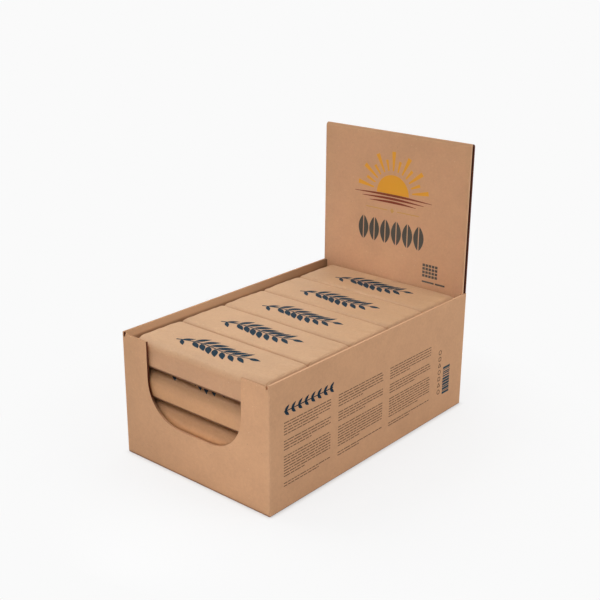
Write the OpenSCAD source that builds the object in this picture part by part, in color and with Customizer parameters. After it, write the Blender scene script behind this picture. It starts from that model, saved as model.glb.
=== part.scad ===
// Counter display box: a folded kraft carton with a header, filled with wrapped bars.
// Millimetres, +Z up, front towards -Y, origin at the centre of the underside.

/* [Bars] */
// Length of a bar's wrapped body, across the box
bar_length = 114; // [80:0.5:160]
// Width of a bar, along the depth of the box
bar_width = 41.2; // [30:0.1:60]
// Height of a bar
bar_height = 20.8; // [15:0.1:35]
// Bars along the depth of the box
columns = 5; // [2:1:8]
// Bars on top of each other
layers = 4; // [2:1:5]
// Upper edge radius where two bars lie side by side
bar_edge_r = 3.2; // [1:0.1:6]
// Upper front edge radius of the first bar in each layer
front_edge_r = 7.5; // [1:0.1:7.5]
// Lower edge radius where two bars lie side by side
base_edge_r = 2; // [0.5:0.1:6]
// Lower front edge radius of the first bar in each layer
front_base_r = 5.3; // [0.5:0.1:7]
// Radius of the upper and lower edges at a bar's ends
end_edge_r = 5; // [1:0.1:6]
// Corner radius of a bar seen from above
bar_corner_r = 3; // [1:0.1:8]

/* [End seals of the wrapper] */
// Length of the crimped fin beyond the body
fin_length = 6.1; // [4:0.1:12]
// Thickness of the crimped fin
fin_thickness = 0.6; // [0.4:0.1:1.5]
// How much the fin is narrower than the bar, each side
fin_inset = 2.2; // [0.5:0.1:5]
// Depth over which the wrapper narrows from the body to the fin
gusset_length = 3; // [1:0.1:4]
// Height of the body's end where it starts to narrow
gusset_height = 8; // [4:0.1:9]

/* [Carton] */
// Thickness of the board
board = 1.5; // [0.6:0.1:2]
// Outside radius of a fold
fold_outer_r = 1; // [0.4:0.1:1.5]
// Inside radius of a fold
fold_inner_r = 0.3; // [0.1:0.1:1]
// How much lower the rim is at the front than at the sides
front_drop = 1.2; // [0.2:0.1:3]
// Height of the header above the rim
header_height = 109.5; // [60:0.5:160]
// Space between the two panels of the header
header_gap = 1.8; // [1:0.1:4]
// How much the header is narrower than the box, each side
header_inset = 0.8; // [0.2:0.1:3]
// Depth of the tuck below the rim
tuck_depth = 20; // [8:0.5:30]
// Room between the tuck and a side wall
tuck_side_gap = 2; // [0.5:0.1:6]
// Corner radius of the tuck
tuck_corner_r = 6; // [1:0.5:7]
// Width of the seam where two bottom flaps meet
flap_seam = 0.6; // [0.2:0.1:1.5]
// How far the outer bottom flaps stop short of the front and back
flap_inset = 0.5; // [0.2:0.1:2]

/* [Cut-out in the front wall] */
// Width of the cut-out
cutout_width = 83.6; // [50:0.1:100]
// Depth of the cut-out below the front rim
cutout_depth = 54; // [32:0.1:70]
// Radius of its lower corners
cutout_r = 28; // [5:0.5:30]

/* [Fold relief] */
// Width of the slit beside each front fold at the rim
relief_width = 1.5; // [0.5:0.1:2]
// Depth of that slit below the front rim
relief_depth = 1.8; // [1:0.1:6]

/* [Clearances] */
// Between a fin's tip and the side wall
side_clear = 0.4; // [0.1:0.1:0.9]
// Between the first bars and the front wall
front_clear = 1; // [0.1:0.1:2]
// Between neighbouring bars in a layer
bar_gap = 0.15; // [0.05:0.05:0.5]
// Between a bar and what it lies on
layer_gap = 0.1; // [0.05:0.05:0.5]
// Between the last bars and the tuck
rear_clear = 0.3; // [0.1:0.1:0.9]
// Between the top of the bars and the rim
rim_clear = 1.4; // [0:0.1:5]
// Between the header's shoulders and the rim they stand on
shoulder_clear = 0.2; // [0.1:0.1:0.9]

/* [Hidden] */
$fn = 96;
// Cuts run past the faces they open, and joined shapes into each other, by this much
overlap = 1;
board_color = "#b98c68";
wrapper_color = "#cda583";

// The bottom has an inner and an outer layer of flaps
floor_top = 2 * board;
bar_pitch = bar_width + bar_gap;
layer_pitch = bar_height + layer_gap;
// The header's two panels and the space between them
header_thickness = 2 * board + header_gap;

tray_width = bar_length + 2 * (fin_length + side_clear + board);
tray_length = board + front_clear + columns * bar_pitch - bar_gap + rear_clear + header_thickness;
tray_height = floor_top + layers * layer_pitch + rim_clear;
front_rim = tray_height - front_drop;

header_width = tray_width - 2 * header_inset;
tuck_width = tray_width - 2 * (board + tuck_side_gap);
front_y = -tray_length / 2;
back_y = tray_length / 2;
first_bar_y = front_y + board + front_clear + bar_width / 2;

function bar_name(layer, column) = str("bar_", layer, "_", column);

// Rectangle centred on x, from y = 0 up, with a radius for each corner:
// [lower left, lower right, upper right, upper left]
module rounded_rect(size, radii) {
    x = size[0] / 2;
    centres = [
        [-x + radii[0], radii[0]],
        [x - radii[1], radii[1]],
        [x - radii[2], size[1] - radii[2]],
        [-x + radii[3], size[1] - radii[3]],
    ];
    corners = [[-x, 0], [x, 0], [x, size[1]], [-x, size[1]]];
    difference() {
        translate([-x, 0]) square(size);
        for (i = [0:3]) if (radii[i] > 0)
            difference() {
                translate([min(corners[i][0], centres[i][0]), min(corners[i][1], centres[i][1])])
                    square(radii[i]);
                translate(centres[i]) circle(r = radii[i]);
            }
    }
}

// Turns a drawing in x and y into a prism along X (drawn as y, z), centred on X
module prism_x(length) {
    rotate([90, 0, 90]) translate([0, 0, -length / 2]) linear_extrude(length) children();
}

// Turns a drawing in x and y into a prism along Y (drawn as x, z), centred on Y
module prism_y(length) {
    rotate([90, 0, 0]) translate([0, 0, -length / 2]) linear_extrude(length) children();
}

// Prism standing on z = 0 with rounded upright edges, centred on X and Y
module upright_block(width, length, height, r) {
    linear_extrude(height) translate([0, -length / 2]) rounded_rect([width, length], [r, r, r, r]);
}

// The tray's outer form: side walls fold under at z = 0, front and back walls one board higher
module tray_outside() {
    intersection() {
        upright_block(tray_width, tray_length, tray_height, fold_outer_r);
        prism_y(tray_length) rounded_rect([tray_width, tray_height], [fold_outer_r, fold_outer_r, 0, 0]);
        union() {
            prism_y(tray_length - 2 * flap_inset)
                translate([-tray_width / 2, 0]) square([tray_width, tray_height]);
            translate([0, 0, board]) prism_x(tray_width)
                rounded_rect([tray_length, tray_height - board], [fold_outer_r, fold_outer_r, 0, 0]);
        }
    }
}

// The space inside the walls, above the flaps
module tray_inside() {
    translate([0, 0, floor_top])
        upright_block(tray_width - 2 * board, tray_length - 2 * board, tray_height, fold_inner_r);
}

// Seams where the outer flaps meet under the box and the inner flaps meet across it
module flap_seams() {
    translate([-flap_seam / 2, front_y - overlap, -overlap])
        cube([flap_seam, tray_length + 2 * overlap, board + overlap]);
    translate([-tray_width / 2 + board, -flap_seam / 2, board])
        cube([tray_width - 2 * board, flap_seam, board + overlap]);
}

// Cuts a drawing in x and z through the front wall
module through_front() {
    translate([0, front_y, 0]) prism_y(2 * (board + front_clear)) children();
}

// U-shaped cut through the front wall, open at the rim
module front_cutout() {
    through_front() translate([0, front_rim - cutout_depth])
        rounded_rect([cutout_width, cutout_depth + overlap], [cutout_r, cutout_r, 0, 0]);
}

// Takes the front wall down to its own rim, with slits beside its folds that let the board bend cleanly
module front_rim_cut() {
    inner_x = tray_width / 2 - board;
    through_front() {
        translate([-inner_x, front_rim]) square([2 * inner_x, front_drop + overlap]);
        for (slit_x = [-inner_x, inner_x - relief_width])
            translate([slit_x, front_rim - relief_depth]) square([relief_width, relief_depth + overlap]);
    }
}

// Header seen from the side: rear panel, hairpin fold and front panel, which stops above the rim
module header_section() {
    outer_r = header_thickness / 2;
    inner_r = header_gap / 2;
    difference() {
        rounded_rect([header_thickness, header_height], [0, 0, outer_r, outer_r]);
        translate([0, -overlap])
            rounded_rect([header_gap, header_height - board + overlap], [0, 0, inner_r, inner_r]);
        translate([-outer_r - overlap, -overlap]) square([outer_r + overlap, shoulder_clear + overlap]);
    }
}

// The lid folded double; its front panel ends in a narrower tuck inside the box
module header() {
    tuck_height = tuck_depth + shoulder_clear + overlap;
    translate([0, back_y - header_thickness / 2, tray_height]) prism_x(header_width) header_section();
    translate([0, back_y - header_thickness + board / 2, tray_height - tuck_depth]) prism_y(board)
        rounded_rect([tuck_width, tuck_height], [tuck_corner_r, tuck_corner_r, 0, 0]);
}

// The whole folded blank
module carton() {
    color(board_color) {
        difference() {
            tray_outside();
            tray_inside();
            flap_seams();
            front_cutout();
            front_rim_cut();
        }
        header();
    }
}

// Crimped fin and the wrapper that narrows to it, at the end of a bar that points along +X
module end_seal() {
    fin_width = bar_width - 2 * fin_inset;
    end_x = bar_length / 2;
    root_x = end_x - overlap;
    narrow_x = end_x + gusset_length;
    half_end = gusset_height / 2;
    half_fin = fin_thickness / 2;
    translate([0, 0, bar_height / 2]) prism_y(fin_width) {
        polygon([[root_x, -half_end], [end_x, -half_end], [narrow_x, -half_fin],
            [narrow_x, half_fin], [end_x, half_end], [root_x, half_end]]);
        translate([end_x, -half_fin]) square([fin_length, fin_thickness]);
    }
}

// A wrapped bar lying on z = 0, centred on X and Y; front_radii are for its front edges, [lower, upper]
module wrapped_bar(front_radii) {
    color(wrapper_color) {
        intersection() {
            prism_x(bar_length)
                rounded_rect([bar_width, bar_height],
                    [front_radii[0], base_edge_r, bar_edge_r, front_radii[1]]);
            prism_y(bar_width)
                rounded_rect([bar_length, bar_height], [for (i = [0:3]) end_edge_r]);
            upright_block(bar_length, bar_width, bar_height, bar_corner_r);
        }
        for (turn = [0, 180]) rotate(turn) end_seal();
    }
}

// A bar at its place in the stack
module placed_bar(layer, column) {
    bar_y = first_bar_y + (column - 1) * bar_pitch;
    bar_z = floor_top + layer_gap + (layer - 1) * layer_pitch;
    front_radii = column == 1 ? [front_base_r, front_edge_r] : [base_edge_r, bar_edge_r];
    translate([0, bar_y, bar_z]) wrapped_bar(front_radii);
}

carton();
for (layer = [1:layers]) for (column = [1:columns])
    placed_bar(layer, column);
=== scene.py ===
import math
import random
from collections import namedtuple

import bpy
from mathutils import Matrix, Vector, noise


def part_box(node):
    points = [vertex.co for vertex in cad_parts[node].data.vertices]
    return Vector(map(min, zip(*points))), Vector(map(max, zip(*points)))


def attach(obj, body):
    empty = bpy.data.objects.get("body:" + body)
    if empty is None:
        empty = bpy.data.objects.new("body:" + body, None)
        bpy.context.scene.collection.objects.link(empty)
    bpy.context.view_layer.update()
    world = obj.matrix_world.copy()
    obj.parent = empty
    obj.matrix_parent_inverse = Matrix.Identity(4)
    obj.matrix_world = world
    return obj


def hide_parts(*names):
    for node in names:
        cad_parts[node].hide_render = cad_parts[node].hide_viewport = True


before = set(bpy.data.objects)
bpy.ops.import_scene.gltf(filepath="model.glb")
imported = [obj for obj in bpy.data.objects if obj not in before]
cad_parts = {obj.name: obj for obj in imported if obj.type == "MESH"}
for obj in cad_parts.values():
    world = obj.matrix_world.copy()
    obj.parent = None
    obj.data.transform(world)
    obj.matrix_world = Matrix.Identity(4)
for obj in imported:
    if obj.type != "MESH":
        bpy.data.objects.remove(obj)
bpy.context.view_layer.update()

# Sizes of the part in millimetres, as in its source
LAYERS = 4
COLUMNS = 5
BOARD = 1.5
RIM_CLEAR = 1.4
FRONT_DROP = 1.2
HEADER_GAP = 1.8
HEADER_INSET = 0.8
CUTOUT_WIDTH = 83.6
CUTOUT_DEPTH = 54.0
RELIEF_WIDTH = 1.5
RELIEF_DEPTH = 1.8
FIN_LENGTH = 6.1
FIN_THICKNESS = 0.6
FIN_INSET = 2.2
GUSSET_LENGTH = 3.0
EDGE_R = 3.2
FRONT_EDGE_R = 7.5
BASE_EDGE_R = 2.0
FRONT_BASE_R = 5.3
CORNER_R = 3.0

# A millimetre in metres
MM = 0.001


def box_mm(node):
    """Lowest and highest corner of a node in millimetres."""
    low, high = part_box(node)
    return [c / MM for c in low], [c / MM for c in high]


def bar_node(layer, column):
    """Name of a bar's node; layers count from the floor up, columns from the front back."""
    return f"bar_{layer}_{column}"


# Places of the carton in millimetres, from the frame
carton_low, carton_high = box_mm("carton")
half_width = carton_high[0]
inner_x = half_width - BOARD
front_y = carton_low[1]
back_y = carton_high[1]
header_top = carton_high[2]
header_face_y = back_y - (2 * BOARD + HEADER_GAP)
rim_z = box_mm(bar_node(LAYERS, 1))[1][2] + RIM_CLEAR
front_rim_z = rim_z - FRONT_DROP

# Colours as they look on the object
BOARD_COLOUR = "c69873"
# Colour of cut edges and of folds, also used where they carry painted highlight
BOARD_EDGE_COLOUR = "cda17e"
# Painted shade for the rims and the header's top fold
RIM_SHADE_COLOUR = "b08562"
# Painted shade in the scored crease
CREASE_SHADE_COLOUR = "8a6244"
# Painted light on the inner faces of the side walls
INSIDE_PAINTED_LIGHT_COLOUR = "e0b790"
SHADE_COLOUR = "501f04"
DARK_FLECK_COLOUR = "6d4a31"
PALE_FLECK_COLOUR = "efd6b8"
# Paper of the bars by layer; the lower layers' colours are painted shade, deeper than the top layer's
WRAPPER_COLOURS = {4: "be9773", 3: "b4855d", 2: "b07f57", 1: "b07f57"}
# Painted shade along the paper's crinkles
CRINKLE_SHADE_COLOUR = "b98f6d"
SHEEN_COLOUR = "e6c3a0"
INK_COLOURS = {
    "navy": "1f3442",
    "grey": "4b4843",
    "text": "6a5442",
    "amber": "d99a35",
    "faint_amber": "c39557",
    "brown": "7a3a2a",
    "teal": "2c4650",
}


def linear(colour):
    """A hex colour as linear RGBA, by the sRGB curve."""
    channels = [int(colour[i:i + 2], 16) / 255 for i in (0, 2, 4)]
    return [c / 12.92 if c <= 0.04045 else ((c + 0.055) / 1.055) ** 2.4 for c in channels] + [1.0]


# Shader node helpers

def add_node(tree, kind, inputs=None, **settings):
    """A new node; inputs maps socket names or numbers to values or to sockets that feed them."""
    node = tree.nodes.new(kind)
    for key, value in settings.items():
        setattr(node, key, value)
    for key, value in (inputs or {}).items():
        if isinstance(value, bpy.types.NodeSocket):
            tree.links.new(value, node.inputs[key])
        else:
            node.inputs[key].default_value = value
    return node


def calc(tree, operation, a, b=0.0, clamp=False):
    """One step of arithmetic on sockets or numbers."""
    return add_node(tree, "ShaderNodeMath", {0: a, 1: b}, operation=operation, use_clamp=clamp).outputs[0]


def product(tree, first, *others):
    """Product of sockets or numbers."""
    for value in others:
        first = calc(tree, "MULTIPLY", first, value)
    return first


def largest(tree, first, *others):
    """Largest of sockets or numbers."""
    for value in others:
        first = calc(tree, "MAXIMUM", first, value)
    return first


def within(tree, value, low, high):
    """1 where value lies between low and high, else 0."""
    return product(tree, calc(tree, "GREATER_THAN", value, low), calc(tree, "LESS_THAN", value, high))


def spread(tree, value, source, target):
    """Maps value from the source range to the target range, clamped."""
    node = add_node(tree, "ShaderNodeMapRange", {
        "Value": value, "From Min": source[0], "From Max": source[1],
        "To Min": target[0], "To Max": target[1]})
    return node.outputs["Result"]


def blend_colour(tree, factor, a, b, mode="MIX"):
    """Mix of two colours or colour sockets."""
    node = add_node(tree, "ShaderNodeMix", {"Factor": factor}, data_type="RGBA", blend_type=mode)
    for socket, value in ((node.inputs[6], a), (node.inputs[7], b)):
        if isinstance(value, bpy.types.NodeSocket):
            tree.links.new(value, socket)
        else:
            socket.default_value = value
    return node.outputs[2]


def split(tree, vector):
    """The three parts of a vector socket."""
    return tuple(add_node(tree, "ShaderNodeSeparateXYZ", {"Vector": vector}).outputs)


def millimetres(tree):
    """Object coordinates in millimetres."""
    coords = add_node(tree, "ShaderNodeTexCoord").outputs["Object"]
    scaled = add_node(tree, "ShaderNodeVectorMath", {0: coords, 1: (1 / MM,) * 3}, operation="MULTIPLY")
    return scaled.outputs[0]


def noise_value(tree, place, grain):
    """Noise of one grain at a place."""
    node = add_node(tree, "ShaderNodeTexNoise", {
        "Vector": place, "Scale": grain.scale, "Detail": grain.detail,
        "Roughness": grain.rough, "Distortion": grain.distortion})
    return node.outputs["Fac"]


def bump(tree, height, depth, strength, before=None):
    """A normal bent by a height; depth is in millimetres, before is a normal to go on from."""
    inputs = {"Height": height, "Distance": depth * MM, "Strength": strength}
    if before is not None:
        inputs["Normal"] = before
    return add_node(tree, "ShaderNodeBump", inputs).outputs["Normal"]


def new_material(name, specular):
    """A new material with its node tree and shader."""
    material = bpy.data.materials.new(name)
    material.use_nodes = True
    tree = material.node_tree
    shader = tree.nodes["Principled BSDF"]
    shader.inputs["Specular IOR Level"].default_value = specular
    return material, tree, shader


def connect(tree, shader, colour, roughness, normal):
    """Feeds a shader's main inputs."""
    for name, socket in (("Base Color", colour), ("Roughness", roughness), ("Normal", normal)):
        tree.links.new(socket, shader.inputs[name])


# Unbleached fibre, which board and paper share

# A noise; its scale is per millimetre
Grain = namedtuple("Grain", "scale detail rough distortion")
CLOUDS = Grain(scale=0.045, detail=3.0, rough=0.55, distortion=0.0)
MOTTLE = Grain(scale=0.5, detail=4.0, rough=0.6, distortion=0.6)
FIBRE = Grain(scale=1.7, detail=5.0, rough=0.7, distortion=2.2)

# Stretches of a noise that are spread over a range of tones
MIDDLE_NOISE = (0.3, 0.7)
FIBRE_NOISE = (0.25, 0.75)
WIDE_NOISE = (0.2, 0.8)
CLOUD_TONES = (0.96, 1.04)
MOTTLE_TONES = (-0.045, 0.045)
FIBRE_TONES = (-0.05, 0.05)

# Specks: cells per millimetre, size as a share of a cell, how much they cover, and their colour
Flecks = namedtuple("Flecks", "scale size share colour")
DARK_FLECKS = Flecks(scale=0.34, size=0.12, share=0.35, colour=DARK_FLECK_COLOUR)
PALE_FLECKS = Flecks(scale=0.27, size=0.13, share=0.22, colour=PALE_FLECK_COLOUR)
CELLS_WITHOUT_FLECK = 0.72


def add_flecks(tree, place, colour, flecks):
    """The colour with specks in the middle of a random few cells."""
    cells = add_node(tree, "ShaderNodeTexVoronoi",
                     {"Vector": place, "Scale": flecks.scale, "Randomness": 1.0})
    near = spread(tree, cells.outputs["Distance"], (flecks.size / 2, flecks.size), (1.0, 0.0))
    chance = add_node(tree, "ShaderNodeSeparateColor", {"Color": cells.outputs["Color"]}).outputs[0]
    chosen = calc(tree, "GREATER_THAN", chance, CELLS_WITHOUT_FLECK)
    return blend_colour(tree, product(tree, near, chosen, flecks.share), colour, linear(flecks.colour))


def kraft_surface(tree, place, colour):
    """Colour of the fibre, with cloudy tone, tangled fibres and flecks; also its fibre and mottle noise."""
    mottle = noise_value(tree, place, MOTTLE)
    fibre = noise_value(tree, place, FIBRE)
    tone = spread(tree, noise_value(tree, place, CLOUDS), MIDDLE_NOISE, CLOUD_TONES)
    tone = calc(tree, "ADD", tone, spread(tree, mottle, MIDDLE_NOISE, MOTTLE_TONES))
    tone = calc(tree, "ADD", tone, spread(tree, fibre, FIBRE_NOISE, FIBRE_TONES))
    colour = blend_colour(tree, 1.0, linear(colour), tone, "MULTIPLY")
    for flecks in (DARK_FLECKS, PALE_FLECKS):
        colour = add_flecks(tree, place, colour, flecks)
    return colour, fibre, mottle


# Board

class BoardPlaces:
    """Places on the carton as shader values: 1 in a place, 0 elsewhere, in between where it fades."""

    # How far a point may lie off a face, and how far inside a wall its cut edge starts
    HAIR = 0.05
    SKIN = 0.02
    # Room round the outline of the cut-out, and behind the front wall at a slit
    CUTOUT_ROOM = 0.1
    SLIT_ROOM = 0.3
    # Part of a normal along an axis: at least this on a face across the axis, at most this on a cut edge
    SQUARE_ON = 0.9
    EDGE_ON = 0.5
    # Slopes of the cut-out's edge, as the upward part of its normal: from plain to lit, from shaded to plain
    LIT_SLOPES = (0.7, 0.95)
    LIT_SHARE = 0.6
    SHADED_SLOPES = (0.45, 0.85)
    # Distances from a fold, the crease and the header's top over which they fade out
    FOLD_FADE = (0.4, 2.6)
    CREASE_FADE = (0.25, 0.75)
    TOP_FADE = (0.6, 1.6)
    # How far the crease goes into the back wall
    CREASE_DEPTH = 0.3
    # Where shade sets in, and its share: below the rim, along the box to the rear, and above the floor
    DEEP_FADE = (4.4, 6.0)
    DEEP_SHARE = 0.5
    REAR_FADE = (-55.0, 55.0)
    REAR_SHARE = 0.28
    FLOOR_FADE = (0.5, 1.1)
    FLOOR_SHARE = 0.65

    def __init__(self, tree, place):
        self.tree = tree
        self.x, self.y, self.z = split(tree, place)
        self.off_middle = calc(tree, "ABSOLUTE", self.x)
        normal = add_node(tree, "ShaderNodeNewGeometry").outputs["True Normal"]
        facing_x, facing_y, self.upward = split(tree, normal)
        self.sideways = calc(tree, "ABSOLUTE", facing_x)
        self.endways = calc(tree, "ABSOLUTE", facing_y)

    def more(self, value, limit):
        """1 where value is over the limit."""
        return calc(self.tree, "GREATER_THAN", value, limit)

    def less(self, value, limit):
        """1 where value is under the limit."""
        return calc(self.tree, "LESS_THAN", value, limit)

    def near(self, value, target):
        """1 where value is a hair's breadth from the target at most."""
        return within(self.tree, value, target - self.HAIR, target + self.HAIR)

    def below(self, height):
        """Distance below a height."""
        return calc(self.tree, "SUBTRACT", height, self.z)

    def rim(self, height):
        """The rim at that height."""
        return product(self.tree, self.near(self.z, height), self.more(self.upward, self.SQUARE_ON))

    def shaded_rims(self):
        """Painted shade on both rims and on the fold at the top of the header."""
        top = spread(self.tree, self.below(header_top), self.TOP_FADE, (1.0, 0.0))
        return largest(self.tree, self.rim(rim_z), self.rim(front_rim_z), top)

    def header_sides(self):
        """The upright cut edges of the header."""
        on_side = self.near(self.off_middle, half_width - HEADER_INSET)
        return product(self.tree, self.more(self.sideways, self.SQUARE_ON), on_side)

    def cutout_edge(self):
        """The cut edge of the front wall's cut-out."""
        in_wall = within(self.tree, self.y, front_y + self.SKIN, front_y + BOARD - self.SKIN)
        in_width = self.less(self.off_middle, CUTOUT_WIDTH / 2 + self.CUTOUT_ROOM)
        foot_z = front_rim_z - CUTOUT_DEPTH - self.CUTOUT_ROOM
        in_depth = within(self.tree, self.z, foot_z, front_rim_z - self.HAIR)
        return product(self.tree, self.less(self.endways, self.EDGE_ON), in_wall, in_width, in_depth)

    def left_slit(self):
        """The slit beside the left front fold."""
        in_width = within(self.tree, self.x, -inner_x - self.HAIR, -inner_x + RELIEF_WIDTH + self.HAIR)
        in_wall = within(self.tree, self.y, front_y + self.SKIN, front_y + BOARD + self.SLIT_ROOM)
        foot_z = front_rim_z - RELIEF_DEPTH - self.HAIR
        in_depth = within(self.tree, self.z, foot_z, rim_z - self.HAIR)
        return product(self.tree, in_width, in_wall, in_depth)

    def wall_inside(self):
        """The inner faces of the two side walls."""
        square_on = self.more(self.sideways, self.SQUARE_ON)
        return product(self.tree, self.near(self.off_middle, inner_x), square_on, self.less(self.z, rim_z))

    def header_inside(self):
        """The faces between the two panels of the header, and the sides of its rear panel."""
        panel_y = header_face_y + BOARD
        between = within(self.tree, self.y, panel_y - self.HAIR, back_y - BOARD + self.HAIR)
        above_rim = within(self.tree, self.z, rim_z, header_top - BOARD + self.HAIR)
        rear_sides = product(self.tree, self.header_sides(), self.more(self.y, panel_y))
        return largest(self.tree, product(self.tree, between, above_rim), rear_sides)

    def near_outside(self, half_size, off_middle):
        """1 at the outside of a wall, fading out towards the middle of the box."""
        inward = calc(self.tree, "SUBTRACT", half_size, off_middle)
        return spread(self.tree, inward, self.FOLD_FADE, (1.0, 0.0))

    def folds(self):
        """The upright folds, fading out over the board beside them."""
        near_side = self.near_outside(half_width, self.off_middle)
        near_end = self.near_outside(back_y, calc(self.tree, "ABSOLUTE", self.y))
        return product(self.tree, near_side, near_end)

    def crease(self):
        """The scored line where the lid bends up from the back wall."""
        off_line = calc(self.tree, "ABSOLUTE", self.below(rim_z))
        line = spread(self.tree, off_line, self.CREASE_FADE, (1.0, 0.0))
        return product(self.tree, line, self.more(self.y, back_y - self.CREASE_DEPTH))

    def pale_and_highlit_edges(self):
        """Cut edges, paler than the board, with painted highlight where the light falls: the right rim, the
        header's front panel and the foot of the cut-out.
        """
        right_rim = product(self.tree, self.rim(rim_z), self.more(self.x, inner_x - BOARD))
        panel_sides = product(self.tree, self.header_sides(), self.less(self.y, header_face_y + BOARD))
        lit = spread(self.tree, self.upward, self.LIT_SLOPES, (0.0, self.LIT_SHARE))
        return largest(self.tree, right_rim, panel_sides, product(self.tree, self.cutout_edge(), lit))

    def shaded(self):
        """Where hardly any light gets to."""
        steep = spread(self.tree, self.upward, self.SHADED_SLOPES, (1.0, 0.0))
        deep = largest(self.tree,
                       spread(self.tree, self.below(rim_z), self.DEEP_FADE, (0.0, self.DEEP_SHARE)),
                       spread(self.tree, self.y, self.REAR_FADE, (0.0, self.REAR_SHARE)))
        floor = spread(self.tree, self.z, self.FLOOR_FADE, (self.FLOOR_SHARE, 0.0))
        return largest(self.tree, self.header_inside(), product(self.tree, self.cutout_edge(), steep),
                       product(self.tree, self.wall_inside(), deep), self.left_slit(), floor)


BOARD_SPECULAR = 0.25
BOARD_ROUGHNESS = (0.72, 0.9)
BOARD_PLIES = Grain(scale=3.5, detail=3.0, rough=0.7, distortion=0.0)
PLY_SHARES = (0.0, 0.35)
# How much lighter the folds are, from wear and painted highlight
WORN_AND_HIGHLIGHT_SHARES = (0.15, 0.4)
# How much painted shade goes into the crease
CREASE_SHADE_SHARE = 0.25
# How much painted light goes on the inside of the side walls
INSIDE_PAINTED_LIGHT_SHARE = 0.85


def board_material():
    """Kraft board with folds lighter from wear and painted highlight, a scored crease in painted shade, pale
    cut edges with painted highlight, painted shade on the rims and in places where hardly any light gets to,
    and painted light on the inside of the side walls.
    """
    material, tree, shader = new_material("kraft_board", BOARD_SPECULAR)
    place = millimetres(tree)
    at = BoardPlaces(tree, place)
    colour, fibre, mottle = kraft_surface(tree, place, BOARD_COLOUR)
    # Folds lighter from wear, with painted highlight of their rounding
    worn_and_highlit = product(tree, at.folds(), spread(tree, mottle, MIDDLE_NOISE, WORN_AND_HIGHLIGHT_SHARES))
    crease = at.crease()
    plies = spread(tree, noise_value(tree, place, BOARD_PLIES), MIDDLE_NOISE, PLY_SHARES)
    cut_colour = blend_colour(tree, plies, linear(BOARD_EDGE_COLOUR), linear(BOARD_COLOUR))
    for share, other in ((worn_and_highlit, linear(BOARD_EDGE_COLOUR)),
                         # painted shade in the crease
                         (product(tree, crease, CREASE_SHADE_SHARE), linear(CREASE_SHADE_COLOUR)),
                         # painted shade on the rims and the header's top fold
                         (at.shaded_rims(), linear(RIM_SHADE_COLOUR)),
                         # painted light on the inside of the side walls
                         (product(tree, at.wall_inside(), INSIDE_PAINTED_LIGHT_SHARE), linear(INSIDE_PAINTED_LIGHT_COLOUR)),
                         # pale cut edges with painted highlight
                         (at.pale_and_highlit_edges(), cut_colour),
                         (at.shaded(), linear(SHADE_COLOUR))):
        colour = blend_colour(tree, share, colour, other)
    normal = bump(tree, fibre, depth=0.08, strength=0.35)
    normal = bump(tree, mottle, depth=0.12, strength=0.25, before=normal)
    normal = bump(tree, product(tree, crease, -1.0), depth=0.3, strength=0.6, before=normal)
    connect(tree, shader, colour, spread(tree, fibre, WIDE_NOISE, BOARD_ROUGHNESS), normal)
    return material


# Wrapping paper

PAPER_SPECULAR = 0.36
PAPER_ROUGHNESS = (0.48, 0.64)
SHEEN_WEIGHT = 0.2
SHEEN_ROUGHNESS = 0.4
CRINKLES = Grain(scale=0.16, detail=2.0, rough=0.45, distortion=1.2)
# A crinkle runs where its noise passes its middle; half is how far off that it fades out
CRINKLE_MIDDLE = 0.5
CRINKLE_HALF = 0.05
# How much painted shade goes along a crinkle
CRINKLE_SHADE_SHARE = 0.10
# Upward part of the normal, from a side to the top and from an underside to a side
SIDE_SLOPES = (0.2, 0.8)
UNDER_SLOPES = (-0.5, -0.3)
UNDER_SHARE = 0.85
# Painted shade on the sides of the top layer, as a linear tint
SIDE_SHADE_TINT = (0.965, 0.875, 0.845, 1.0)
# Painted shade and light on the fronts of the lower layers, as tones: just under the bar above, down to the
# middle of the front, and at its foot
SHADE_TONES = {3: 0.8, 2: 0.88, 1: 0.88}
MIDDLE_TONE = 0.97
FOOT_TONES = {3: 1.12, 2: 1.4, 1: 1.4}
# Depths below a bar's top over which those tones set in, fade and turn to the foot's
SHADE_STARTS = (1.0, 2.2)
SHADE_ENDS = (3.6, 7.6)
FOOT_STARTS = (6.0, 11.0)


def lower_tone(tree, place, layer):
    """Painted shade on the front of a lower bar: deep under the bar above, with painted light that makes it
    paler at its foot.
    """
    top_z = box_mm(bar_node(layer, 1))[1][2]
    depth = calc(tree, "SUBTRACT", top_z, split(tree, place)[2])
    foot = spread(tree, depth, FOOT_STARTS, (MIDDLE_TONE, FOOT_TONES[layer]))
    setting_in = spread(tree, depth, SHADE_STARTS, (1.0, SHADE_TONES[layer]))
    fading = spread(tree, depth, SHADE_ENDS, (SHADE_TONES[layer], 1.0))
    return product(tree, foot, largest(tree, setting_in, fading))


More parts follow.
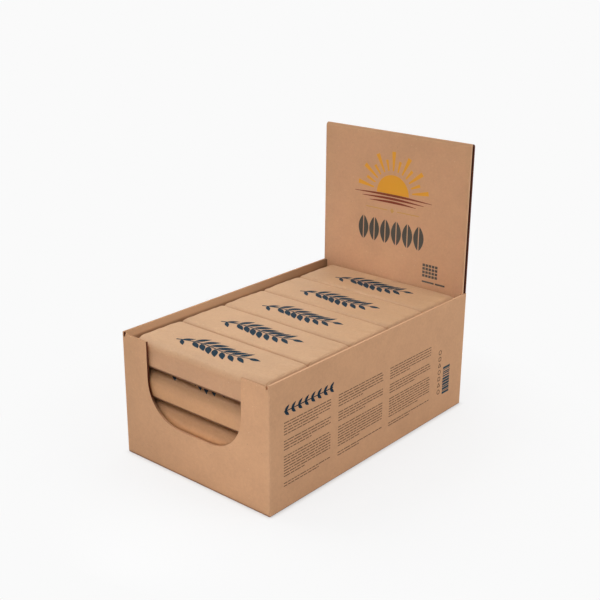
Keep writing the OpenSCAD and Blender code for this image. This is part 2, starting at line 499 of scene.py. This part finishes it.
def wrapper_material(layer):
    """Paper of one layer of bars, with painted shade: less light gets to the lower layers, so their paper is
    painted deeper in tone.
    """
    material, tree, shader = new_material(f"wrapper_paper_{layer}", PAPER_SPECULAR)
    shader.inputs["Sheen Weight"].default_value = SHEEN_WEIGHT
    shader.inputs["Sheen Roughness"].default_value = SHEEN_ROUGHNESS
    shader.inputs["Sheen Tint"].default_value = linear(SHEEN_COLOUR)
    place = millimetres(tree)
    # the lower layers' paper colours are painted shade
    colour, fibre, _ = kraft_surface(tree, place, WRAPPER_COLOURS[layer])
    off_crinkle = calc(tree, "SUBTRACT", noise_value(tree, place, CRINKLES), CRINKLE_MIDDLE)
    crinkle = spread(tree, calc(tree, "ABSOLUTE", off_crinkle), (0.0, CRINKLE_HALF), (1.0, 0.0))
    # Painted shade along the crinkles
    colour = blend_colour(tree, product(tree, crinkle, CRINKLE_SHADE_SHARE), colour, linear(CRINKLE_SHADE_COLOUR))
    upward = split(tree, add_node(tree, "ShaderNodeNewGeometry").outputs["Normal"])[2]
    if layer == LAYERS:
        # Painted shade on the sides of the top layer
        side = spread(tree, upward, SIDE_SLOPES, (1.0, 0.0))
        colour = blend_colour(tree, side, colour, SIDE_SHADE_TINT, "MULTIPLY")
    else:
        # Painted shade under the bar above and painted light at the foot of a lower bar's front
        colour = blend_colour(tree, 1.0, colour, lower_tone(tree, place, layer), "MULTIPLY")
    under = spread(tree, upward, UNDER_SLOPES, (UNDER_SHARE, 0.0))
    colour = blend_colour(tree, under, colour, linear(SHADE_COLOUR))
    rough = calc(tree, "ADD", spread(tree, fibre, WIDE_NOISE, PAPER_ROUGHNESS), under, clamp=True)
    normal = bump(tree, fibre, depth=0.05, strength=0.25)
    normal = bump(tree, crinkle, depth=0.25, strength=0.22, before=normal)
    connect(tree, shader, colour, rough, normal)
    return material


# Ink

INK_SPECULAR = 0.06
INK_ROUGHNESS = (0.75, 0.92)
BLOTS = Grain(scale=0.35, detail=2.0, rough=0.5, distortion=0.0)
BLOT_NOISE = (0.35, 0.65)
BLOT_SHARES = (0.4, 1.0)
BARE_NOISE = (0.54, 0.78)
BARE_SHARES = (0.0, 0.22)


def ink_material(name, colour):
    """Matt ink that sinks into the fibres and lets a little paper through."""
    material, tree, shader = new_material(name, INK_SPECULAR)
    place = millimetres(tree)
    fibre = noise_value(tree, place, FIBRE)
    bare = product(tree, spread(tree, fibre, BARE_NOISE, BARE_SHARES),
                   spread(tree, noise_value(tree, place, BLOTS), BLOT_NOISE, BLOT_SHARES))
    colour = blend_colour(tree, bare, linear(colour), linear(BOARD_COLOUR))
    normal = bump(tree, fibre, depth=0.05, strength=0.25)
    connect(tree, shader, colour, spread(tree, fibre, WIDE_NOISE, INK_ROUGHNESS), normal)
    return material


# Mesh helpers

def new_piece(name, verts, faces, material, sharp_angle=None):
    """A mesh piece from millimetre points, riding on the part; smooth if a sharp angle is given."""
    mesh = bpy.data.meshes.new(name)
    mesh.from_pydata([[c * MM for c in v] for v in verts], [], faces)
    mesh.validate()
    mesh.materials.append(material)
    if sharp_angle:
        mesh.shade_smooth()
        mesh.set_sharp_from_angle(angle=math.radians(sharp_angle))
    piece = bpy.data.objects.new(name, mesh)
    bpy.context.scene.collection.objects.link(piece)
    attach(piece, "root")
    return piece


def shares(steps):
    """Even shares from 0 to 1."""
    return [i / steps for i in range(steps + 1)]


def on_circle(centre, radius, angle):
    """A point of a circle."""
    return (centre[0] + radius * math.cos(angle), centre[1] + radius * math.sin(angle))


class Print:
    """Flat printed shapes on one surface, as thin closed strips joined in one mesh.

    place(u, v, height) gives the point on the surface at u, v, that far outside it.
    """

    # How far the strips stand proud of the surface and go below it, and their points at each place
    PROUD = 0.05
    SUNK = 0.04
    AROUND = 4
    # Width of a leaf at its ends, and the power that puts its fullest part before its middle
    LEAF_TIP = 0.06
    LEAF_FULLNESS = 0.8

    def __init__(self, place, proud=PROUD):
        self.place = place
        self.proud = proud
        self.verts = []
        self.faces = []

    def strip(self, pairs):
        """A closed strip between pairs of (u, v) points, left and right of its path."""
        start = len(self.verts)
        for left, right in pairs:
            self.verts += [self.place(*point, self.proud) for point in (left, right)]
            self.verts += [self.place(*point, -self.SUNK) for point in (right, left)]
        end = len(self.verts) - self.AROUND
        for a in range(start, end, self.AROUND):
            b = a + self.AROUND
            for k in range(self.AROUND):
                j = (k + 1) % self.AROUND
                self.faces.append((a + k, a + j, b + j, b + k))
        self.faces.append((start + 3, start + 2, start + 1, start))
        self.faces.append((end, end + 1, end + 2, end + 3))

    def path(self, points, widths):
        """A stroke along points; widths is one width or one for each point."""
        widths = widths if isinstance(widths, list) else [widths] * len(points)
        pairs = []
        for i, (u, v) in enumerate(points):
            before, after = points[max(i - 1, 0)], points[min(i + 1, len(points) - 1)]
            du, dv = after[0] - before[0], after[1] - before[1]
            length = math.hypot(du, dv) or 1.0
            nu, nv = -dv / length * widths[i] / 2, du / length * widths[i] / 2
            pairs.append(((u + nu, v + nv), (u - nu, v - nv)))
        self.strip(pairs)

    def bar(self, u, v, width, height):
        """An upright rectangle from its corner."""
        self.strip([((u, v), (u, v + height)), ((u + width, v), (u + width, v + height))])

    def leaf(self, root, angle, length, width, steps=8):
        """A pointed oval from root along angle."""
        points = [on_circle(root, length * t, angle) for t in shares(steps)]
        fullness = [math.sin(math.pi * t ** self.LEAF_FULLNESS) for t in shares(steps)]
        self.path(points, [max(self.LEAF_TIP, width * f) for f in fullness])

    def circle(self, centre, radius, width, steps=24):
        """A stroke round a circle."""
        self.path([on_circle(centre, radius, 2 * math.pi * t) for t in shares(steps)], width)

    def polygon(self, centre, radius, corners, first, width):
        """Strokes along a regular polygon's sides; first is the angle of its first corner in degrees."""
        for k in range(corners):
            ends = [math.radians(first + 360 / corners * (k + j)) for j in (0, 1)]
            self.path([on_circle(centre, radius, a) for a in ends], width)

    def finish(self, name, material, slot):
        """Makes the piece, with its faces turned outwards."""
        origin, along, across = (Vector(self.place(*p)) for p in ((0, 0, 0), (1, 0, 0), (0, 1, 0)))
        out = Vector(self.place(0, 0, 1)) - origin
        faces = self.faces
        if (along - origin).cross(across - origin).dot(out) > 0:
            faces = [tuple(reversed(f)) for f in faces]
        new_piece(name, self.verts, faces, material)


# Wrapped bars

# An end of a bar: how far its top edge falls and over what length, how far its corners are cut back,
# and how soon its paper narrows to the fin (a higher power is later)
BarEnd = namedtuple("BarEnd", "drop reach corner narrowing")
LEFT_END = BarEnd(drop=3.2, reach=4.5, corner=3.5, narrowing=0.7)
RIGHT_END = BarEnd(drop=0.6, reach=2.7, corner=0.8, narrowing=4.0)

# How finely a bar is divided: step along it, points round its ends and points across it
Division = namedtuple("Division", "step bends across")
FINE = Division(step=2.0, bends=9, across=48)
COARSE = Division(step=8.0, bends=5, across=16)


def rounding(past):
    """How far a round edge falls as a share of its radius, at a share of the way past its start."""
    return 1 - math.sqrt(max(0.0, 1 - past ** 2))


class WrappedBar:
    """A paper flow-wrapped bar inside the box of its solid."""

    # How much lower the top is at its long edges than along its middle
    CROWN = 0.45
    # Slow swells of the top and of the sides: mean depth, and scales of their noise
    SWELL = 0.14
    SWELL_SCALES = (0.035, 0.05)
    SIDE_SWELL = 0.12
    SIDE_SWELL_SCALES = (0.05, 0.2)
    # Folds towards the end seals: depth, length, distance apart, how fast they grow and how they wander
    FOLD_DEPTH = 0.32
    FOLD_REACH = 17.0
    FOLD_PITCH = 11.0
    FOLD_GROWTH = 1.6
    FOLD_BEND = 2.2
    FOLD_BEND_SCALES = (0.12, 0.11)
    # Power by which all that fades out from the top down the sides
    SIDE_FADE = 3
    # Steps that keep the noise of one bar apart from the next, and of its top from its underside
    SWELL_SEED = 7.3
    BEND_SEED = 3.1
    TOP_SEED = 40.0
    # Crimp ridges and the zigzag cut of the fin, and where its gusset and the fin itself are divided
    RIDGE = 0.2
    ZIGZAG = 0.35
    GUSSET_SHARES = (0.2, 0.4, 0.7, 1.0)
    FIN_SHARES = (0.33, 0.66, 1.0)
    # Points up a side and round an edge
    UPRIGHT = 6
    TURN = 6
    # Largest edge radius as a share of half the height, and the angle from which an edge is sharp
    ROUNDEST = 0.95
    SHARP_ANGLE = 55

    def __init__(self, layer, column):
        low, high = box_mm(bar_node(layer, column))
        self.name = f"wrap_{layer}_{column}"
        self.node = bar_node(layer, column)
        self.centre = [(a + b) / 2 for a, b in zip(low, high)]
        self.half_length = (high[0] - low[0]) / 2 - FIN_LENGTH
        self.half_width = (high[1] - low[1]) / 2
        self.half_height = (high[2] - low[2]) / 2
        self.front_r = FRONT_EDGE_R if column == 1 else EDGE_R
        self.front_base_r = FRONT_BASE_R if column == 1 else BASE_EDGE_R
        self.seed = layer * 10 + column
        self.division = FINE if layer == LAYERS or column == 1 else COARSE

    def wrinkle(self, x, y, top):
        """How far the paper lies inside its full shape: a slow swell, and folds towards the end seals."""
        side_seed = self.TOP_SEED if top else 0.0
        along, across = self.SWELL_SCALES
        slow = noise.noise(Vector((x * along, y * across, self.seed * self.SWELL_SEED + side_seed)))
        depth = self.SWELL * (1 + slow)
        from_end = max(0.0, self.half_length - abs(x))
        if from_end < self.FOLD_REACH:
            along, across = self.FOLD_BEND_SCALES
            bend = noise.noise(Vector((x * along, y * across, self.seed * self.BEND_SEED + side_seed)))
            turn = 2 * math.pi * y / self.FOLD_PITCH + self.seed + self.FOLD_BEND * bend + (x > 0)
            growth = (1 - from_end / self.FOLD_REACH) ** self.FOLD_GROWTH
            depth += self.FOLD_DEPTH * growth * (0.5 + 0.5 * math.cos(turn))
        return depth

    def crown(self, y):
        """How far the top falls towards its long edges."""
        return self.CROWN * (y / self.half_width) ** 2

    def skin(self, x, y, z, share):
        """A point of the full shape moved in to where the paper lies; share is its height, 1 at the top."""
        along, upright = self.SIDE_SWELL_SCALES
        slow = noise.noise(Vector((x * along, z * upright, self.seed)))
        swell = self.SIDE_SWELL * (1 - share ** 2) * (1 + slow)
        inside = self.wrinkle(x, y, z > 0) + (self.crown(y) if z > 0 else 0.0)
        return x, y - math.copysign(swell, y), z - math.copysign(inside * abs(share) ** self.SIDE_FADE, z)

    def top_point(self, x, y, above):
        """A point over the top or its rounded front edge, in the part's frame."""
        past = max(0.0, -self.half_width + self.front_r - y)
        drop = self.front_r - math.sqrt(max(0.0, self.front_r ** 2 - past ** 2))
        z = self.half_height - drop
        x, y, z = self.skin(x, y, z, z / self.half_height)
        tilt = math.asin(min(1.0, past / self.front_r))
        return (self.centre[0] + x, self.centre[1] + y - above * math.sin(tilt),
                self.centre[2] + z + above * math.cos(tilt))

    def plan_width(self, x, end):
        """Half width of the body at x, seen from above."""
        past = max(0.0, x - (self.half_length - CORNER_R)) / CORNER_R
        return self.half_width - end.corner * rounding(past)

    def side_height(self, x, end):
        """Half height of the body at x, seen from the side."""
        past = max(0.0, x - (self.half_length - end.reach)) / end.reach
        return self.half_height - end.drop * rounding(past)

    def stations(self, end):
        """Places along the bar's half length as (x, half width, half height), from the middle to the tip."""
        straight = self.half_length - max(CORNER_R, end.reach)
        reach = self.half_length - straight
        count = max(1, round(straight / self.division.step))
        places = [straight * i / count for i in range(count)]
        places += [straight + reach * math.sin(math.pi / 2 * t) for t in shares(self.division.bends)]
        rows = [(x, self.plan_width(x, end), self.side_height(x, end)) for x in places]
        end_width, end_height = rows[-1][1:]
        fin_width, fin_height = self.half_width - FIN_INSET, FIN_THICKNESS / 2
        for t in self.GUSSET_SHARES:
            rows.append((self.half_length + GUSSET_LENGTH * t,
                         end_width + (fin_width - end_width) * t ** max(1.0, end.narrowing),
                         end_height + (fin_height - end_height) * t ** end.narrowing))
        for t in self.FIN_SHARES:
            x = self.half_length + GUSSET_LENGTH + (FIN_LENGTH - GUSSET_LENGTH) * t
            rows.append((x, fin_width, fin_height))
        return rows

    def section(self, half_width, half_height):
        """Loop of (y, z) round a rounded rectangle, clockwise from its upper front."""
        limit = self.ROUNDEST * half_height
        front, rear = min(self.front_r, limit), min(EDGE_R, limit)
        front_base, rear_base = min(self.front_base_r, limit), min(BASE_EDGE_R, limit)
        across, upright = self.division.across, self.UPRIGHT
        # Each straight stretch before a corner as its start, its end and its points
        stretches = (
            ((front - half_width, half_height), (half_width - rear, half_height), across),
            ((half_width, half_height - rear), (half_width, rear_base - half_height), upright),
            ((half_width - rear_base, -half_height), (front_base - half_width, -half_height), across),
            ((-half_width, front_base - half_height), (-half_width, half_height - front), upright))
        # Each corner as the middle of its turn, the radius and the angle that the turn starts from
        corners = (
            (half_width - rear, half_height - rear, rear, 90),
            (half_width - rear_base, rear_base - half_height, rear_base, 0),
            (front_base - half_width, front_base - half_height, front_base, -90),
            (front - half_width, half_height - front, front, 180))
        loop = []
        for (start, stop, count), (y, z, radius, angle) in zip(stretches, corners):
            loop += [tuple(a + (b - a) * i / count for a, b in zip(start, stop)) for i in range(count)]
            turns = [math.radians(angle - 90 * i / self.TURN) for i in range(self.TURN)]
            loop += [on_circle((y, z), radius, a) for a in turns]
        return loop

    def ring(self, x, half_width, half_height):
        """The section at x with its wrinkles, or its crimp ridges past the body."""
        past_body = abs(x) - self.half_length
        section = self.section(half_width, half_height)
        if past_body <= 0:
            return [self.skin(x, y, z, z / half_height) for y, z in section]
        crimp = self.RIDGE * min(1.0, past_body / GUSSET_LENGTH)
        return [(x, y, z + crimp * (1 if i % 2 else -1)) for i, (y, z) in enumerate(section)]

    def build(self, material):
        """Makes the piece, ring by ring from the left tip to the right."""
        rings = [self.ring(-x, *half) for x, *half in reversed(self.stations(LEFT_END)[1:])]
        rings += [self.ring(x, *half) for x, *half in self.stations(RIGHT_END)]
        for tip, way in ((0, -1), (-1, 1)):
            rings[tip] = [(x - way * self.ZIGZAG * (i % 2), y, z) for i, (x, y, z) in enumerate(rings[tip])]
        verts = [[c + d for c, d in zip(self.centre, p)] for ring in rings for p in ring]
        count = len(rings[0])
        faces = []
        for start in range(0, len(verts) - count, count):
            for i in range(count):
                j = (i + 1) % count
                faces.append((start + i, start + count + i, start + count + j, start + j))
        faces.append(tuple(range(count)))
        faces.append(tuple(reversed(range(len(verts) - count, len(verts)))))
        piece = new_piece(self.name, verts, faces, material, self.SHARP_ANGLE)
        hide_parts(self.node)


def ear_of_grain(sprig):
    """A lying ear of grain: a bent stem, slanted kernels in pairs and two leaves at its foot."""
    length, rise, sway, offset = 62.0, 9.0, 2.4, -1.0
    stem_end, stem_width, stem_taper = 0.96, 1.3, 0.5
    pairs, first_pair, paired = 7, 0.2, 0.72
    kernel_length, kernel_width, kernel_lean, kernel_gap = 12.5, 4.4, math.radians(42), 0.8
    fullest_pair, kernel_shrink = 0.4, 0.3
    tip_place, tip_length, tip_width = 0.93, 8.5, 3.6
    foot_place, foot_length, foot_width, foot_lean, foot_gap = 0.06, 9.0, 3.0, math.radians(40), 0.3
    stem_steps, ahead_by = 24, 0.02

    def stem(t):
        """Point at a share of the stem's length."""
        return (-length / 2 + offset + length * t,
                rise * (t - 0.5) + sway * math.sin(2 * math.pi * t) + offset)

    sprig.path([stem(t * stem_end) for t in shares(stem_steps)],
               [stem_width - stem_taper * t for t in shares(stem_steps)])
    for k in range(pairs):
        t = first_pair + paired * k / pairs
        root, ahead = stem(t), stem(t + ahead_by)
        along = math.atan2(ahead[1] - root[1], ahead[0] - root[0])
        size = 1.0 - kernel_shrink * abs(k / (pairs - 1) - fullest_pair)
        for side in (-1, 1):
            start = on_circle(root, kernel_gap, along + side * math.pi / 2)
            sprig.leaf(start, along + side * kernel_lean, kernel_length * size, kernel_width * size)
    sprig.leaf(stem(tip_place), math.atan2(rise, length), tip_length, tip_width)
    foot = stem(foot_place)
    for side in (-1, 1):
        sprig.leaf((foot[0], foot[1] + foot_gap * side), foot_lean * side, foot_length, foot_width)


# How far the print of a bar lies off its usual place, towards the back
PRINT_SHIFT = {(3, 1): -7.5}


def build_bars(ink):
    """All the bars with their print."""
    for layer in range(1, LAYERS + 1):
        paper = wrapper_material(layer)
        for column in range(1, COLUMNS + 1):
            bar = WrappedBar(layer, column)
            bar.build(paper)
            shift = PRINT_SHIFT.get((layer, column), 0.0)
            sprig = Print(lambda u, v, height: bar.top_point(u, v + shift, height))
            ear_of_grain(sprig)
            sprig.finish(f"print_{layer}_{column}", ink, "wrapper_paper")


# Print on the header, in millimetres from the left of the box and below the header's top

HEADER_MIDDLE = 64.6
OVERPRINT_PROUD = 0.07
FAINT_PROUD = 0.04


def header_place(u, v, height):
    """u from the left of the box, v below the top of the header."""
    return (-half_width + u, header_face_y - height, header_top - v)


def sunrise(amber, brown):
    """A rising half disc with rays over ploughed ground."""
    centre, disc_r, disc_steps = (HEADER_MIDDLE, 46.0), 14.5, 32
    rays, first_ray, last_ray = 13, 10, 170
    ray_start, ray_ends, ray_root, ray_tips = 17.5, (32.0, 26.0), 1.2, (3.4, 2.4)
    furrows, furrow_half, furrow_shorter, furrow_drop, furrow_pitch = 3, 35.0, 7.0, 1.8, 2.6
    furrow_arch, furrow_tip, furrow_width, furrow_steps = 0.9, 0.3, 1.5, 24

    rim = [on_circle(centre, disc_r, -math.pi * t) for t in shares(disc_steps)]
    amber.strip([((u, v), (u, centre[1])) for u, v in rim])
    for k, t in enumerate(shares(rays - 1)):
        angle = -math.radians(first_ray + (last_ray - first_ray) * t)
        points = [on_circle(centre, radius, angle) for radius in (ray_start, ray_ends[k % 2])]
        amber.path(points, [ray_root, ray_tips[k % 2]])
    arches = [math.sin(math.pi * t) for t in shares(furrow_steps)]
    for k in range(furrows):
        half = furrow_half - furrow_shorter * k
        level = centre[1] + furrow_drop + furrow_pitch * k
        line = [(centre[0] + half * (2 * t - 1), level - furrow_arch * arch)
                for t, arch in zip(shares(furrow_steps), arches)]
        brown.path(line, [furrow_tip + furrow_width * arch for arch in arches])


def diamond_rule(ink):
    """A thin rule with a small diamond in its gap."""
    level, gap_half, rule_half, thickness = 58.6, 4.5, 24.0, 0.7
    diamond_half, diamond_width, diamond_tip = 2.0, 3.6, 0.1
    for side in (-1, 1):
        ink.path([(HEADER_MIDDLE + side * u, level) for u in (gap_half, rule_half)], thickness)
    ink.path([(HEADER_MIDDLE, level + k * diamond_half) for k in (-1, 0, 1)],
             [diamond_tip, diamond_width, diamond_tip])


def kernel_row(ink):
    """A row of upright kernels, each split down its middle."""
    left, top, width, height = 33.5, 66.2, 60.7, 18.3
    count, gap, tip, half_share, fullness, steps = 6, 0.9, 0.06, 0.4, 0.75, 16
    pitch = width / count
    for k in range(count):
        middle = left + pitch * (k + 0.5)
        for side in (-1, 1):
            inner = middle + side * gap / 2
            pairs = []
            for t in shares(steps):
                bulge = tip + pitch * half_share * math.sin(math.pi * t) ** fullness
                pair = ((inner, top + height * t), (inner + side * bulge, top + height * t))
                pairs.append(pair if side < 0 else pair[::-1])
            ink.strip(pairs)


def stack_sign(ink):
    """Small bars in rows and columns, with two strokes under them."""
    left, top, width, height = 93.9, 93.2, 13.7, 10.8
    bar_share, row_share = 0.8, 0.72
    strokes_top, stroke_height, first_stroke, stroke_gap, second_stroke = 106.3, 1.3, 10.5, 1.1, 8.4
    across, down = width / COLUMNS, height / LAYERS
    for row in range(LAYERS):
        for column in range(COLUMNS):
            ink.bar(left + column * across, top + row * down, across * bar_share, down * row_share)
    ink.bar(left, strokes_top, first_stroke, stroke_height)
    ink.bar(left + first_stroke + stroke_gap, strokes_top, second_stroke, stroke_height)


def build_header_print(inks):
    """The header's print, one piece for each ink."""
    amber, brown = Print(header_place), Print(header_place, OVERPRINT_PROUD)
    sunrise(amber, brown)
    amber.finish("header_sun", inks["amber"], "kraft_board")
    brown.finish("header_ground", inks["brown"], "kraft_board")
    faint = Print(header_place, FAINT_PROUD)
    diamond_rule(faint)
    faint.finish("header_rule", inks["faint_amber"], "kraft_board")
    dark = Print(header_place)
    kernel_row(dark)
    stack_sign(dark)
    dark.finish("header_kernels", inks["grey"], "kraft_board")


# Print on the right wall, in millimetres from its front and below its rim

DRAW_SEED = 20


def side_place(u, v, height):
    """u from the front of the right wall, v below its rim."""
    return (half_width + height, front_y + u, rim_z - v)


def garland(ink):
    """A straight twig with pairs of leaves that lean forward."""
    left, right, middle, thickness = 12.8, 62.0, 21.2, 0.7
    pairs, first_place, bare_end = 8, 0.1, 0.4
    leaf_length, leaf_width, leaf_lean = 5.4, 2.3, math.radians(40)
    step = (right - left) / pairs
    ink.path([(left, middle), (right - bare_end * step, middle)], thickness)
    for k in range(pairs):
        for side in (-1, 1):
            ink.leaf((left + step * (k + first_place), middle), leaf_lean * side, leaf_length, leaf_width)


def text_block(ink, draw, left, top, width, lines, last_share):
    """Lines of word-long strokes; the last line ends at a share of the width."""
    pitch, thickness, gap = 1.92, 0.62, 0.7
    shortest, longest, least_room = 1.6, 6.5, 1.0
    for line in range(lines):
        end = left + width * (last_share if line == lines - 1 else 1.0)
        u = left
        while u < end - least_room:
            word = min(draw.uniform(shortest, longest), end - u)
            ink.bar(u, top + line * pitch, word, thickness)
            u += word + gap


def text_columns(ink, draw):
    """Three columns of paragraphs."""
    columns = ((12.8, 45.0), (65.6, 48.0), (121.5, 49.3))       # left and width
    paragraphs = ((28.6, 5), (40.8, 4), (51.2, 8), (69.5, 2))   # top and lines
    last_shares = (0.45, 0.75)
    for left, width in columns:
        for top, lines in paragraphs:
            text_block(ink, draw, left, top, width, lines, draw.uniform(*last_shares))


def sign_column(ink):
    """Rings, squares and triangles by turns."""
    middle, top, pitch, count = 183.0, 36.9, 5.17, 7
    radius, thickness = 1.9, 0.6
    for k in range(count):
        centre = (middle, top + pitch * k)
        if k % 3 == 0:
            ink.circle(centre, radius - thickness / 2, thickness)
        elif k % 3 == 1:
            ink.polygon(centre, radius, corners=4, first=45, width=thickness)
        else:
            ink.polygon(centre, radius, corners=3, first=-90, width=thickness)


def stripe_column(ink, draw):
    """Stripes of random thickness."""
    left, width, top, end = 188.0, 8.8, 49.9, 69.8
    thicknesses, gaps = (0.5, 0.9, 1.7), (0.5, 0.9)
    v = top
    while v < end:
        thick = draw.choice(thicknesses)
        ink.bar(left, v, width, thick)
        v += thick + draw.choice(gaps)


def build_side_print(inks):
    """The right wall's print, one piece for each part of it."""
    draw = random.Random(DRAW_SEED)
    heading, text, signs, stripes = (Print(side_place) for _ in range(4))
    garland(heading)
    heading.finish("side_heading", inks["navy"], "kraft_board")
    text_columns(text, draw)
    text.finish("side_text", inks["text"], "kraft_board")
    sign_column(signs)
    signs.finish("side_signs", inks["text"], "kraft_board")
    stripe_column(stripes, draw)
    stripes.finish("side_stripes", inks["teal"], "kraft_board")


# Stage and light, in metres

WHITE = (1.0, 1.0, 1.0, 1.0)
BACKGROUND = (0.956, 0.956, 0.956, 1.0)
AMBIENT = 0.2
FLOOR_HALF = 12.0
FLOOR_Z = -0.0002
FLOOR_COLOUR = (0.9, 0.9, 0.9, 1.0)
# How much of the background's glow the floor shows: less near the box, least along its foot
NEAR_BOX = (0.12, 0.22)
NEAR_GLOW = 0.82
FOOT_WIDTH = 0.003
FOOT_GLOW = 0.5


def seen_directly(tree):
    """1 for rays from the camera, in mirrors and through glass."""
    path = add_node(tree, "ShaderNodeLightPath").outputs
    return largest(tree, path["Is Camera Ray"], path["Is Glossy Ray"], path["Is Transmission Ray"])


def floor_material():
    """A white floor that keeps the box's shadow near it and turns into the background further out."""
    material = bpy.data.materials.new("floor")
    material.use_nodes = True
    tree = material.node_tree
    tree.nodes.clear()
    paper = add_node(tree, "ShaderNodeBsdfDiffuse", {"Color": FLOOR_COLOUR})
    glow = add_node(tree, "ShaderNodeEmission", {"Color": BACKGROUND, "Strength": 1.0})
    place = add_node(tree, "ShaderNodeTexCoord").outputs["Object"]
    away = add_node(tree, "ShaderNodeVectorMath", {0: place}, operation="LENGTH").outputs["Value"]
    fade = spread(tree, away, NEAR_BOX, (NEAR_GLOW, 1.0))
    past_side, past_end = (calc(tree, "SUBTRACT", calc(tree, "ABSOLUTE", value), edge * MM)
                           for value, edge in zip(split(tree, place), (half_width, back_y)))
    contact = spread(tree, largest(tree, past_side, past_end), (0.0, FOOT_WIDTH), (FOOT_GLOW, 1.0))
    share = product(tree, seen_directly(tree), fade, contact)
    mixed = add_node(tree, "ShaderNodeMixShader", {0: share, 1: paper.outputs[0], 2: glow.outputs[0]})
    add_node(tree, "ShaderNodeOutputMaterial", {"Surface": mixed.outputs[0]})
    return material


def build_floor():
    """A wide floor just under the box."""
    mesh = bpy.data.meshes.new("floor")
    corners = [(FLOOR_HALF * x, FLOOR_HALF * y, FLOOR_Z) for x, y in ((-1, -1), (1, -1), (1, 1), (-1, 1))]
    mesh.from_pydata(corners, [], [(0, 1, 2, 3)])
    mesh.materials.append(floor_material())
    floor = bpy.data.objects.new("floor", mesh)
    bpy.context.scene.collection.objects.link(floor)


def build_world():
    """A pale background, and a little light from all round."""
    world = bpy.data.worlds.new("studio")
    bpy.context.scene.world = world
    world.use_nodes = True
    tree = world.node_tree
    tree.nodes.clear()
    shown = add_node(tree, "ShaderNodeBackground", {"Color": BACKGROUND, "Strength": 1.0})
    ambient = add_node(tree, "ShaderNodeBackground", {"Color": WHITE, "Strength": AMBIENT})
    mixed = add_node(tree, "ShaderNodeMixShader",
                     {0: seen_directly(tree), 1: ambient.outputs[0], 2: shown.outputs[0]})
    add_node(tree, "ShaderNodeOutputWorld", {"Surface": mixed.outputs[0]})


def area_light(name, place, target, size, power, colour=(1.0, 1.0, 1.0), spread_degrees=180.0):
    """A square lamp at a place, turned to a target."""
    light = bpy.data.lights.new(name, "AREA")
    light.color = colour
    light.spread = math.radians(spread_degrees)
    light.shape = "SQUARE"
    light.size = size
    light.energy = power
    lamp = bpy.data.objects.new(name, light)
    lamp.location = place
    lamp.rotation_euler = (Vector(target) - Vector(place)).to_track_quat("-Z", "Y").to_euler()
    bpy.context.scene.collection.objects.link(lamp)


def build_lights():
    """Soft lamps round the box, and two weak ones that lift the front wall's foot and the header."""
    middle = (0.0, 0.0, 0.08)
    area_light("overhead", place=(-0.1, 0.85, 1.35), target=middle, size=1.2, power=6.5)
    area_light("upper_left", place=(-0.6, -0.15, 0.75), target=middle, size=0.6, power=3.7)
    area_light("upper_front", place=(0.0, -0.6, 0.9), target=(0.0, 0.08, 0.12), size=0.5, power=2.9)
    area_light("near_front", place=(0.045, -0.24, 0.03), target=(0.03, -0.1, 0.015), size=0.05, power=0.047)
    area_light("header_front", place=(0.0, -1.2, 0.5), target=(0.0, 0.1, 0.09), size=0.1, power=0.022,
               colour=(0.93, 1.0, 1.01), spread_degrees=10.0)
    area_light("right", place=(0.8, 0.3, 0.55), target=middle, size=0.6, power=3.75)


# Camera, its place in millimetres, its angles in degrees and its focal length in pixels of the picture

CAMERA_PLACE = (436.9, -519.8, 344.0)
CAMERA_AZIMUTH = 40.238
CAMERA_ELEVATION = 20.034
CAMERA_ROLL = 0.42
FOCAL_PIXELS = 1050.17
IMAGE_PIXELS = 600
SENSOR_MM = 36.0
CLIP_START = 0.05


def build_camera():
    """A camera where the photograph was taken from."""
    data = bpy.data.cameras.new("camera")
    data.sensor_width = SENSOR_MM
    data.lens = FOCAL_PIXELS / IMAGE_PIXELS * SENSOR_MM
    data.clip_start = CLIP_START
    camera = bpy.data.objects.new("camera", data)
    stand = Matrix.Translation([c * MM for c in CAMERA_PLACE])
    for degrees, axis in ((CAMERA_AZIMUTH, "Z"), (90 - CAMERA_ELEVATION, "X"), (CAMERA_ROLL, "Z")):
        stand = stand @ Matrix.Rotation(math.radians(degrees), 4, axis)
    camera.matrix_world = stand
    bpy.context.scene.collection.objects.link(camera)
    bpy.context.scene.camera = camera


# The whole scene

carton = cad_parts["carton"]
carton.data.materials.clear()
carton.data.materials.append(board_material())

inks = {name: ink_material(f"{name}_ink", colour) for name, colour in INK_COLOURS.items()}
build_bars(inks["navy"])
build_header_print(inks)
build_side_print(inks)
build_floor()
build_world()
build_lights()
build_camera()
bpy.context.scene.view_settings.view_transform = "Standard"
